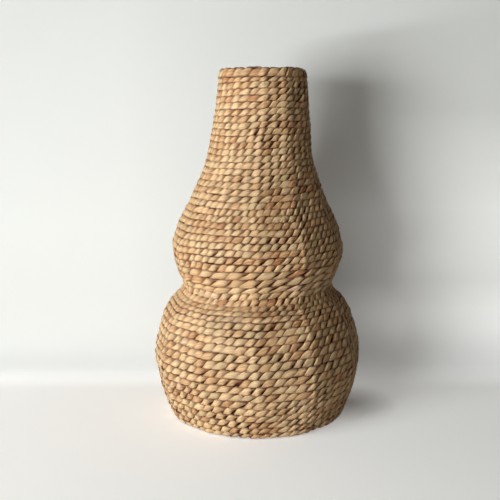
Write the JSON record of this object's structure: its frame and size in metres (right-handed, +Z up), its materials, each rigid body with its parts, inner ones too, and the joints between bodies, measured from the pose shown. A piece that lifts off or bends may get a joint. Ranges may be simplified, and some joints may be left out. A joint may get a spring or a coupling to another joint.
{
  "type": "woven urn",
  "caption": "Tall woven seagrass urn with a wide round belly, a pinched waist, a smaller upper lobe and a long open neck, twined over an iron wire frame.",
  "frame": {"origin": "centre of the base on the floor, under the middle of the belly", "axes": "+Z up through the mouth, -Y towards the front, the neck leans 8.5 mm towards +X"},
  "size_m": [0.3758, 0.3759, 0.61],
  "materials": {
    "seagrass": "dry twined seagrass strands, straw tan with red-brown, olive and pale stitches, satin where the skin of the stem shows",
    "seagrass_border": "thick rolled seagrass border, straw tan, dry",
    "seagrass_base": "woven seagrass mat, a little darker and scuffed on its standing band",
    "iron": "thin black paint on iron wire, slightly rusty at the welds"
  },
  "bodies": {
    "root": {"hub_ring": "iron", "base_ring": "iron", "belly_ring": "iron", "waist_ring": "iron", "lobe_ring": "iron", "neck_ring": "iron", "rim_ring": "iron", "rib_01": "iron", "rib_02": "iron", "rib_03": "iron", "rib_04": "iron", "rib_05": "iron", "rib_06": "iron", "rib_07": "iron", "rib_08": "iron", "rib_09": "iron", "rib_10": "iron", "rib_11": "iron", "rib_12": "iron", "base_mat": "seagrass_base", "weft_01": "seagrass", "weft_02": "seagrass", "weft_03": "seagrass", "weft_04": "seagrass", "weft_05": "seagrass", "weft_06": "seagrass", "weft_07": "seagrass", "weft_08": "seagrass", "weft_09": "seagrass", "weft_10": "seagrass", "weft_11": "seagrass", "weft_12": "seagrass", "weft_13": "seagrass", "weft_14": "seagrass", "weft_15": "seagrass", "weft_16": "seagrass", "weft_17": "seagrass", "weft_18": "seagrass", "weft_19": "seagrass", "weft_20": "seagrass", "weft_21": "seagrass", "weft_22": "seagrass", "weft_23": "seagrass", "weft_24": "seagrass", "weft_25": "seagrass", "weft_26": "seagrass", "weft_27": "seagrass", "weft_28": "seagrass", "rim_border": "seagrass_border"}
  },
  "joints": []
}
